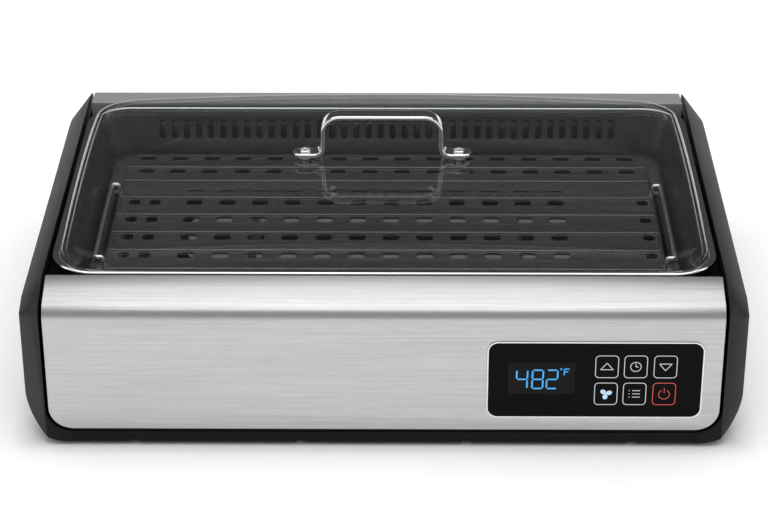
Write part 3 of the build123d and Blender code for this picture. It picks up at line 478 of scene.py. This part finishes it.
def handOver(piece, name, body, slot, material, *replaced):
    piece.name = name
    piece.data.name = name
    piece.data.materials.clear()
    piece.data.materials.append(material)
    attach(piece, body)
    if replaced:
        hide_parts(*replaced)
    bpy.ops.object.select_all(action="DESELECT")


# Softened edges: a merged copy of a node gets the small radii that its edges really have

softEdges = {
    # node: width in millimetres, steps, whether flat triangles are merged first
    "grill_plate": (0.40, 2, False), "cooking_well": (0.2, 2, False), "top_deck": (0.2, 2, False),
    "front_panel": (0.3, 2, True), "left_end_cap": (0.6, 3, True), "right_end_cap": (0.6, 3, True),
    "handle_screws": (0.25, 2, True), "handle_washers": (0.25, 2, False),
    "control_frame": (0.12, 2, False), "power_inlet": (0.4, 2, True), "rubber_feet": (0.5, 2, True),
    "terminal_block": (0.4, 2, True),
}
softEdgeAngles = {"merged": 0.5, "bevelled": 32, "smoothed": 38}


def roundEdges(node, width, steps, flatten):
    look = softEdgeAngles
    source = frame["nodes"][node]
    name = node + "_rounded"
    piece = bpy.data.objects.new(name, source.data.copy())
    bpy.context.scene.collection.objects.link(piece)
    editMode(piece, "VERT")
    selectAll()
    bpy.ops.mesh.remove_doubles(threshold=0.01 * millimetre)
    if flatten:
        bpy.ops.mesh.dissolve_limited(angle_limit=math.radians(look["merged"]))
    objectMode()
    if piece.data.has_custom_normals:
        bpy.ops.mesh.customdata_custom_splitnormals_clear()
    soften(piece, width * millimetre, steps, look["bevelled"], clamp=False)
    smooth(piece, look["smoothed"])
    handOver(piece, name, bodyOfNode[node], slotOfNode[node], source.material_slots[0].material,
             node)


for node, (width, steps, flatten) in softEdges.items():
    roundEdges(node, width, steps, flatten)
print("edges rounded")


# Glass dome: a rounded outline in rings, laid onto a shallow ellipsoid, with a soft shoulder

domeShape = {
    "halfX": 0.2435, "halfY": 0.1405, "corner": 0.028, "cornerSteps": 8,
    "low": 0.1246, "apex": 0.1522, "thick": 0.0034, "shoulder": 0.0096, "shoulderSteps": 7,
    "rise": 0.1, "drop": 0.008, "ballSides": 256, "ballRings": 128,   # the ellipsoid
    "longCuts": 23, "shortCuts": 13, "longEdge": 0.15, "sharp": 50,
    "rings": (0.86, 0.87, 0.87, 0.86, 0.84, 0.80, 0.74, 0.64, 0.45),   # each as a share of the last
}


def makeEllipsoid():
    look = domeShape
    spreadBy = 1 / math.sqrt(1 - (1 - look["drop"] / look["rise"]) ** 2)
    bpy.ops.mesh.primitive_uv_sphere_add(segments=look["ballSides"], ring_count=look["ballRings"],
                                         radius=1)
    ball = bpy.context.object
    ball.scale = (look["halfX"] * spreadBy, look["halfY"] * spreadBy, look["rise"])
    ball.location = (0, 0, look["apex"] - look["rise"])
    settle(ball)
    return ball


def makeOutline():
    # the dome seen from above, a flat face with evenly cut sides that floats over the ellipsoid
    look = domeShape
    bpy.ops.mesh.primitive_plane_add(size=2, location=(0, 0, look["apex"] + 20 * millimetre))
    outline = bpy.context.object
    outline.scale = (look["halfX"], look["halfY"], 1)
    settle(outline)
    editMode(outline, "VERT")
    selectAll()
    bpy.ops.mesh.bevel(offset=look["corner"], affect="VERTICES", segments=look["cornerSteps"])
    selectAll()
    bpy.ops.mesh.delete(type="ONLY_FACE")
    bpy.ops.mesh.select_mode(type="EDGE")
    for cuts, along in ((look["longCuts"], 0), (look["shortCuts"], 1)):
        pick(outline, "EDGE",
             lambda e: abs(e.verts[0].co[along] - e.verts[1].co[along]) > look["longEdge"])
        bpy.ops.mesh.subdivide(number_cuts=cuts)
    selectAll()
    bpy.ops.mesh.edge_face_add()
    return outline


def makeDome():
    look = domeShape
    ball = makeEllipsoid()
    dome = makeOutline()
    bpy.ops.mesh.select_mode(type="FACE")
    selectAll()
    for ring in look["rings"]:
        bpy.ops.mesh.extrude_region_move()
        bpy.ops.transform.resize(value=(ring, ring, 1))
    bpy.ops.mesh.poke()
    pick(dome, "FACE", lambda f: len(f.verts) > 4)   # the first face, left under the rings
    bpy.ops.mesh.delete(type="ONLY_FACE")
    faceOutwards()
    objectMode()
    wrap = dome.modifiers.new("wrap", "SHRINKWRAP")
    wrap.target = ball
    wrap.wrap_method = "PROJECT"
    wrap.use_project_x = wrap.use_project_y = False
    wrap.use_project_z = True
    wrap.use_negative_direction = True
    wrap.use_positive_direction = False
    applyAll(dome)
    bpy.data.objects.remove(ball)
    editMode(dome, "EDGE")
    pick(dome, "EDGE", lambda e: e.is_boundary)
    bpy.ops.mesh.extrude_region_move(TRANSFORM_OT_translate={"value": (0, 0, -millimetre)})
    bpy.ops.transform.resize(value=(1, 1, 0), center_override=(0, 0, look["low"]))
    pick(dome, "EDGE",
         lambda e: len(e.link_faces) == 2 and e.calc_face_angle(0) > math.radians(look["sharp"]))
    bpy.ops.mesh.bevel(offset=look["shoulder"], segments=look["shoulderSteps"], affect="EDGES",
                       clamp_overlap=False)
    faceOutwards()
    objectMode()
    wall = dome.modifiers.new("wall", "SOLIDIFY")
    wall.thickness = look["thick"]
    wall.offset = -1
    applyAll(dome)
    smooth(dome, look["sharp"])
    handOver(dome, "glass_dome", "lid", "clear_glass", slotFinishes["clear_glass"], "lid_glass")


makeDome()
print("glass dome made")


# Lid handle: a ribbon drawn along the strap's middle, its corners rounded, then thickened

handleShape = {
    "middle": -0.0025, "legReach": 0.0462, "footReach": 0.0700, "screwReach": 0.0605,
    "low": 0.1550, "high": 0.1879, "width": 0.0130, "thick": 0.0036,
    "topBend": 0.0132, "footBend": 0.0078, "bendSteps": 14,
    "tip": 0.495, "tipSteps": 12,   # radius of the feet's round ends, as a share of the width
    "edge": 0.0012, "edgeSteps": 4, "sharp": 50, "smoothed": 40,
    "hole": 0.0021, "holeSides": 48, "holeDepth": 0.02,
}


def pickCorners(strap, height):
    # the ribbon's inner cross edges that lie at this height
    pick(strap, "EDGE", lambda e: len(e.link_faces) == 2
         and all(abs(v.co.z - height) < nearEnough for v in e.verts))


def drawRibbon():
    look = handleShape
    foot = look["footReach"] - look["legReach"]
    left = look["middle"] - look["legReach"]
    bpy.ops.mesh.primitive_plane_add(size=1, location=(left - foot / 2, 0, look["low"]))
    strap = bpy.context.object
    strap.scale = (foot, look["width"], 1)
    settle(strap)
    editMode(strap, "EDGE")
    pick(strap, "EDGE", lambda e: all(v.co.x > left - millimetre for v in e.verts))
    rise = look["high"] - look["low"]
    for step in ((0, 0, rise), (2 * look["legReach"], 0, 0), (0, 0, -rise), (foot, 0, 0)):
        bpy.ops.mesh.extrude_region_move(TRANSFORM_OT_translate={"value": step})
    for height, bend in ((look["high"], look["topBend"]), (look["low"], look["footBend"])):
        pickCorners(strap, height)
        bpy.ops.mesh.bevel(offset=bend, segments=look["bendSteps"], affect="EDGES",
                           clamp_overlap=False)
    bpy.ops.mesh.select_mode(type="VERT")
    pick(strap, "VERT", lambda v: abs(v.co.x - look["middle"]) > look["footReach"] - nearEnough)
    bpy.ops.mesh.bevel(offset=look["width"] * look["tip"], affect="VERTICES",
                       segments=look["tipSteps"])
    faceOutwards()
    objectMode()
    return strap


def makeStrap():
    look = handleShape
    strap = drawRibbon()
    sheet = strap.modifiers.new("sheet", "SOLIDIFY")
    sheet.thickness = look["thick"]
    sheet.offset = 0
    applyAll(strap)
    for side in (-1, 1):
        bpy.ops.mesh.primitive_cylinder_add(
            vertices=look["holeSides"], radius=look["hole"], depth=look["holeDepth"],
            location=(look["middle"] + side * look["screwReach"], 0, look["low"]))
        drill = bpy.context.object
        hole = strap.modifiers.new("hole", "BOOLEAN")
        hole.operation = "DIFFERENCE"
        hole.object = drill
        applyAll(strap)
        bpy.data.objects.remove(drill)
    soften(strap, look["edge"], look["edgeSteps"], look["sharp"])
    smooth(strap, look["smoothed"])
    handOver(strap, "strap_handle", "lid", "bright_steel", slotFinishes["bright_steel"],
             "lid_handle")


makeStrap()
print("lid handle made")


# Dust screen: a foam sheet in a raised edge, between the fan and the exhaust grille

dustScreen = {
    "wide": 0.114, "tall": 0.074, "middle": (0.0, 0.1762, 0.058), "thick": 0.0022,
    "corner": 0.006, "cornerSteps": 5, "edge": 0.004, "sink": 0.0008,
    "soft": 0.0003, "softSteps": 2, "sharp": 40,
}


def makeDustScreen():
    look = dustScreen
    bpy.ops.mesh.primitive_cube_add(size=1, location=look["middle"])
    screen = bpy.context.object
    screen.scale = (look["wide"], look["thick"], look["tall"])
    settle(screen)
    editMode(screen, "EDGE")
    pick(screen, "EDGE",
         lambda e: abs(e.verts[0].co.y - e.verts[1].co.y) > look["thick"] / 2)   # through edges
    bpy.ops.mesh.bevel(offset=look["corner"], segments=look["cornerSteps"], affect="EDGES")
    bpy.ops.mesh.select_mode(type="FACE")
    pick(screen, "FACE", lambda f: abs(f.normal.y) > 0.9)   # front and back
    bpy.ops.mesh.inset(thickness=look["edge"], depth=-look["sink"])
    objectMode()
    soften(screen, look["soft"], look["softSteps"], look["sharp"])
    foam = makeMoulded("darkFoam", tone=0.008, rough=0.9, grainScale=700, relief=0.8, gloss=0.1)
    handOver(screen, "dust_screen", "housing", "case_plastic", foam)


makeDustScreen()
print("dust screen made")


# Touch panel: raised print on the black glass, drawn flat in X and Y and then set upright

panelPrint = {
    "thick": 0.00009, "line": 0.00056,
    "windowMiddle": (0.1168, 0.06005), "windowSize": (0.0492, 0.0265), "windowCorner": 0.0006,
    "windowThick": 0.00003,
    "columns": (0.16475, 0.186, 0.2079), "rows": (0.07035, 0.04700),
    "buttonSize": (0.0173, 0.0193), "buttonCorner": 0.0031,
}
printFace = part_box("control_glass")[0].y
digitBlue = makePrint("digitBlue", (0.05, 0.42, 0.92, 1), 1.05)
printWhite = makePrint("printWhite", (0.72, 0.74, 0.78, 1), 0.85)
printPale = makePrint("printPale", (0.55, 0.75, 1.0, 1), 0.95)
printRed = makePrint("printRed", (0.72, 0.07, 0.05, 1), 0.9)
windowGlass = makeBlackGlass("displayWindow", tone=0.014)


def finishPrint(parts, name, material, thick=panelPrint["thick"]):
    # the flat parts become one raised piece on the face of the glass
    selectOnly(parts[0])
    for part in parts:
        part.select_set(True)
    if len(parts) > 1:
        bpy.ops.object.join()
    piece = bpy.context.view_layer.objects.active
    settle(piece)
    editMode(piece, "FACE")
    selectAll()
    bpy.ops.mesh.extrude_region_move(TRANSFORM_OT_translate={"value": (0, 0, thick)})
    faceOutwards()
    objectMode()
    piece.rotation_euler = (math.radians(90), 0, 0)
    piece.location = (0, printFace, 0)
    settle(piece)
    handOver(piece, name, "housing", "black_glass", material)


def rounded(middleXy, size, corner, steps=6):
    bpy.ops.mesh.primitive_plane_add(size=1, location=(*middleXy, 0))
    sheet = bpy.context.object
    sheet.scale = (*size, 1)
    settle(sheet)
    editMode(sheet, "VERT")
    selectAll()
    bpy.ops.mesh.bevel(offset=corner, affect="VERTICES", segments=steps)
    objectMode()
    return sheet


def hollow(sheet, line=panelPrint["line"]):
    # leaves only a line along the sheet's outline
    editMode(sheet, "FACE")
    selectAll()
    bpy.ops.mesh.inset(thickness=line, depth=0, use_boundary=True)
    bpy.ops.mesh.delete(type="FACE")
    objectMode()
    return sheet


strokeEnd = {"past": 0.3, "corner": 0.45, "steps": 3}   # as shares of the stroke's width


def bar(start, end, width=panelPrint["line"]):
    # a stroke with round ends, which reach a little past its points
    run = Vector(end) - Vector(start)
    length = run.length + 2 * strokeEnd["past"] * width
    sheet = rounded((0, 0), (length, width), strokeEnd["corner"] * width, strokeEnd["steps"])
    sheet.rotation_euler = (0, 0, math.atan2(run.y, run.x))
    sheet.location = ((Vector(start) + Vector(end)) / 2).to_3d()
    settle(sheet)
    return sheet


def disc(middleXy, radius, stretch=1, turn=0, sides=32):
    bpy.ops.mesh.primitive_circle_add(vertices=sides, radius=radius, fill_type="NGON")
    sheet = bpy.context.object
    sheet.scale = (1, stretch, 1)
    sheet.rotation_euler = (0, 0, math.radians(turn))
    sheet.location = (*middleXy, 0)
    settle(sheet)
    return sheet


# Display digits: strokes of a seven-segment digit, each with its place across, place up, and
# whether it stands upright

strokes = {"a": (0, 1, False), "b": (1, 0.5, True), "c": (1, -0.5, True), "d": (0, -1, False),
           "e": (-1, -0.5, True), "f": (-1, 0.5, True), "g": (0, 0, False)}
digitShape = {
    "lit": ("bcfg", "abcdefg", "abdeg"),   # 4, 8 and 2
    "places": (0.1023, 0.1139, 0.1246), "middle": 0.0594, "size": (0.0093, 0.0172),
    "line": 0.0014, "lean": 0.02,   # sideways for each metre up
    "uprightGap": 1.1, "levelGap": 1.7,   # what a stroke gives up at its ends, in line widths
    "unitStrokes": (((0.1333, 0.0632), (0.1337, 0.0683)), ((0.1337, 0.0683), (0.1370, 0.0683)),
                    ((0.1335, 0.0659), (0.1362, 0.0659))),
    "unitLine": 0.62,   # as a share of the digits' line
    "degreeMiddle": (0.1312, 0.0682), "degreeRadius": 0.00085, "degreeLine": 0.00045,
}


def segment(middleXy, length, upright):
    # one stroke, pointed at both ends: a hexagon with its two tips drawn apart
    width = digitShape["line"]
    bpy.ops.mesh.primitive_circle_add(vertices=6, radius=width / 2, fill_type="NGON")
    sheet = bpy.context.object
    editMode(sheet, "VERT")
    for side in (-1, 1):
        pick(sheet, "VERT", lambda v: v.co.y * side > 0.01 * width)
        bpy.ops.transform.translate(value=(0, side * (length - width) / 2, 0))
    objectMode()
    sheet.rotation_euler = (0, 0, -digitShape["lean"] if upright else math.radians(90))
    sheet.location = (*middleXy, 0)
    settle(sheet)
    return sheet


def makeDigits():
    look = digitShape
    line = look["line"]
    halfWidth, halfTall = look["size"][0] / 2, look["size"][1] / 2
    uprightLength = halfTall - line * look["uprightGap"]
    levelLength = 2 * halfWidth - line * look["levelGap"]
    parts = []
    for place, lit in zip(look["places"], look["lit"]):
        for key in lit:
            across, rise, upright = strokes[key]
            x = place + across * (halfWidth - line / 2) + rise * halfTall * look["lean"]
            y = look["middle"] + rise * (halfTall - line / 2)
            parts.append(segment((x, y), uprightLength if upright else levelLength, upright))
    for start, end in look["unitStrokes"]:
        parts.append(bar(start, end, line * look["unitLine"]))
    parts.append(hollow(disc(look["degreeMiddle"], look["degreeRadius"]), look["degreeLine"]))
    finishPrint(parts, "display_digits", digitBlue)


# Buttons: outlines, and signs drawn round each button's middle

signShapes = {
    "triangle": ((-0.0046, -0.0025), (0.0046, -0.0025), (0, 0.0032)),
    "clockRadius": 0.0042, "clockHands": ((0, 0.0028), (0.0019, 0)),
    "listRows": (-0.0028, 0, 0.0028), "listSpan": (-0.0016, 0.0040), "listDot": -0.0040,
    "listDotSize": 0.7,   # radius in line widths
    "fanTurns": (20, 140, 260), "fanHub": 0.0008, "fanReach": 0.0026, "fanBlade": 0.0022,
    "fanBladeWidth": 0.84, "fanArm": 1.4,   # the first as a share of the blade, then in line widths
    "powerRadius": 0.0043, "powerDrop": 0.0004, "powerGap": 0.0030, "powerStroke": (0.0008, 0.0050),
    "ringSides": 48, "dotSides": 16,
}


def buttonOutline(column, row):
    look = panelPrint
    place = (look["columns"][column], look["rows"][row])
    return hollow(rounded(place, look["buttonSize"], look["buttonCorner"]))


def triangleSign(x, y, up):
    corners = [(x + a, y + (b if up else -b)) for a, b in signShapes["triangle"]]
    return [bar(corners[i], corners[i - 1]) for i in range(3)]


def clockSign(x, y):
    hands = [bar((x, y), (x + a, y + b)) for a, b in signShapes["clockHands"]]
    return [hollow(disc((x, y), signShapes["clockRadius"]))] + hands


def listSign(x, y):
    look = signShapes
    start, end = look["listSpan"]
    parts = []
    for rise in look["listRows"]:
        parts.append(bar((x + start, y + rise), (x + end, y + rise)))
        parts.append(disc((x + look["listDot"], y + rise),
                          panelPrint["line"] * look["listDotSize"], sides=look["dotSides"]))
    return parts


def fanSign(x, y):
    look = signShapes
    parts = [disc((x, y), look["fanHub"], sides=look["dotSides"])]
    for turn in look["fanTurns"]:
        angle = math.radians(turn)
        tip = (x + look["fanReach"] * math.cos(angle), y + look["fanReach"] * math.sin(angle))
        parts.append(disc(tip, look["fanBlade"], look["fanBladeWidth"], turn))
        parts.append(bar((x, y), tip, panelPrint["line"] * look["fanArm"]))
    return parts


def powerSign(x, y):
    look = signShapes
    start, end = look["powerStroke"]
    ring = hollow(disc((x, y - look["powerDrop"]), look["powerRadius"], sides=look["ringSides"]))
    editMode(ring, "FACE")
    pick(ring, "FACE", lambda f: f.calc_center_median().y > y + look["powerGap"])
    bpy.ops.mesh.delete(type="FACE")
    objectMode()
    return [ring, bar((x, y + start), (x, y + end))]


def makePanelPrint():
    look = panelPrint
    columns, (topRow, lowRow) = look["columns"], look["rows"]
    window = rounded(look["windowMiddle"], look["windowSize"], look["windowCorner"])
    finishPrint([window], "display_window", windowGlass, look["windowThick"])
    makeDigits()
    white = [buttonOutline(c, r) for c, r in ((0, 0), (1, 0), (2, 0), (0, 1), (1, 1))]
    white += triangleSign(columns[0], topRow, True) + triangleSign(columns[2], topRow, False)
    white += clockSign(columns[1], topRow) + listSign(columns[1], lowRow)
    finishPrint(white, "touch_prints", printWhite)
    finishPrint(fanSign(columns[0], lowRow), "fan_sign", printPale)
    finishPrint([buttonOutline(2, 1)] + powerSign(columns[2], lowRow), "power_sign", printRed)


makePanelPrint()
print("touch panel printed")


# Camera

cameraLook = {
    "place": (0.0138, -1.7052, 0.9926), "pitchDown": 28.6, "yaw": -0.5, "roll": -0.095,
    "focalPixels": 2411, "frameWidth": 768, "sensor": 36, "farthest": 50,
}


def makeCamera():
    look = cameraLook
    pitch, yaw, roll = (math.radians(look[key]) for key in ("pitchDown", "yaw", "roll"))
    ahead = Vector((math.sin(yaw) * math.cos(pitch), math.cos(yaw) * math.cos(pitch),
                    -math.sin(pitch)))
    level = Vector((math.cos(yaw), -math.sin(yaw), 0))
    above = level.cross(ahead)
    right = math.cos(roll) * level + math.sin(roll) * above
    upward = math.cos(roll) * above - math.sin(roll) * level
    data = bpy.data.cameras.new("camera")
    data.sensor_width = look["sensor"]
    data.lens = look["sensor"] * look["focalPixels"] / look["frameWidth"]
    data.dof.use_dof = False
    data.clip_end = look["farthest"]
    camera = bpy.data.objects.new("camera", data)
    bpy.context.scene.collection.objects.link(camera)
    turn = Matrix((right, upward, -ahead)).transposed()
    camera.matrix_world = Matrix.Translation(look["place"]) @ turn.to_4x4()
    bpy.context.scene.camera = camera


makeCamera()
print("camera placed")


# Floor: pale, and a little brighter to the eye than its light makes it

floorLook = {
    "size": 30, "tone": 0.88, "cloudScale": 3, "cloudTone": 1.01, "rough": 0.8, "gloss": 0.1,
    "nearGlow": 0.22, "farGlow": 0.80, "farStart": 0.7, "farEnd": 2.6,
    # the part with no glow and its fade paint a darker contact shadow round the grill
    "shadeX": 0.262, "shadeY": 0.176, "shadeFade": 0.022,   # half sizes of the part with no glow
}


def floorGlow(finish):
    # none under the grill, where its shadow stays, and fading in round its footprint, which paints
    # a contact shadow there; more far off, where the lamps fade
    look = floorLook
    here = finish.place()
    sides = [finish.add("SeparateXYZ", {}, {"Vector": here}, axis) for axis in ("X", "Y")]
    past = [finish.maths("MAXIMUM", finish.maths("ABSOLUTE", side, 0) - limit, 0)
            for side, limit in zip(sides, (look["shadeX"], look["shadeY"]))]
    away = (past[0] * past[0] + past[1] * past[1]) ** 0.5
    # painted contact shadow: the glow fades in over shadeFade past the footprint, darkening the
    # floor round the grill
    outsidePaintedShadow = finish.clamped(away * (1 / look["shadeFade"]))
    far = finish.clamped((away - look["farStart"]) * (1 / (look["farEnd"] - look["farStart"])))
    return outsidePaintedShadow * (look["nearGlow"] + far * (look["farGlow"] - look["nearGlow"]))


def makeFloor():
    look = floorLook
    bpy.ops.mesh.primitive_plane_add(size=look["size"])
    floor = bpy.context.object
    floor.name = "floor"
    material, finish = newFinish("paleFloor")
    cloud = finish.noise(look["cloudScale"], 2.0)
    watched, mirrored, through = (finish.lightPath(ray) for ray in (
        "Is Camera Ray", "Is Glossy Ray", "Is Transmission Ray"))
    glow = finish.clamped(watched + mirrored + through) * floorGlow(finish)
    finish.surface(finish.principled({
        "Base Color": finish.mixed(cloud, grey(look["tone"]),
                                   grey(look["tone"] * look["cloudTone"])),
        "Roughness": look["rough"], "Specular IOR Level": look["gloss"],
        "Emission Strength": 1.0, "Emission Color": finish.mixed(glow, grey(0), grey(1.0))}))
    floor.data.materials.append(material)
    bpy.ops.object.select_all(action="DESELECT")


# Room: white to the eye, even in its light, and for polished parts pale in front, dim behind

roomLook = {
    "backdrop": 1.0, "light": 0.30, "mirroredFront": 0.42, "mirroredRear": 0.06,
    "frontEnd": -0.25, "rearStart": 0.1,   # Y of the directions between which the two change
}


def makeWorld():
    look = roomLook
    world = bpy.data.worlds.new("studio")
    bpy.context.scene.world = world
    finish = Finish(world)
    glossy = finish.lightPath("Is Glossy Ray")
    ahead = finish.add("TexCoord", {}, {}, "Generated")
    depth = finish.add("SeparateXYZ", {}, {"Vector": ahead}, "Y")
    mirrored = finish.ramp(depth, look["frontEnd"], look["rearStart"],
                           look["mirroredFront"], look["mirroredRear"])
    watched = finish.lightPath("Is Camera Ray")
    lit = glossy * mirrored + (1 - glossy) * look["light"]
    strength = watched * look["backdrop"] + (1 - watched) * lit
    room = finish.add("Background", {}, {"Color": grey(1.0), "Strength": strength})
    finish.add("OutputWorld", {}, {"Surface": room})


# Lamps, all turned to one point inside the grill

lampSet = {
    # name: place, width, height, brightness
    "overhead": ((0.0, 0.12, 1.6), 2.5, 1.8, 1.65),
    "upperFront": ((0.0, -1.15, 1.6), 2.2, 0.6, 1.5),
    "leftSide": ((-1.6, -0.2, 0.8), 0.5, 1.2, 1.5),
    "rightSide": ((1.6, -0.2, 0.8), 0.5, 1.2, 1.5),
}
lampAim = Vector((0, 0, 0.1))


def makeLamps():
    for name, (place, width, height, brightness) in lampSet.items():
        data = bpy.data.lights.new(name, "AREA")
        data.shape = "RECTANGLE"
        data.size, data.size_y = width, height
        data.energy = brightness * math.pi * width * height
        lamp = bpy.data.objects.new(name, data)
        bpy.context.scene.collection.objects.link(lamp)
        lamp.location = place
        lamp.rotation_mode = "QUATERNION"
        lamp.rotation_quaternion = (lampAim - Vector(place)).to_track_quat("-Z", "Y")


makeFloor()
makeWorld()
makeLamps()
bpy.context.scene.view_settings.view_transform = "Standard"
print("studio lit")
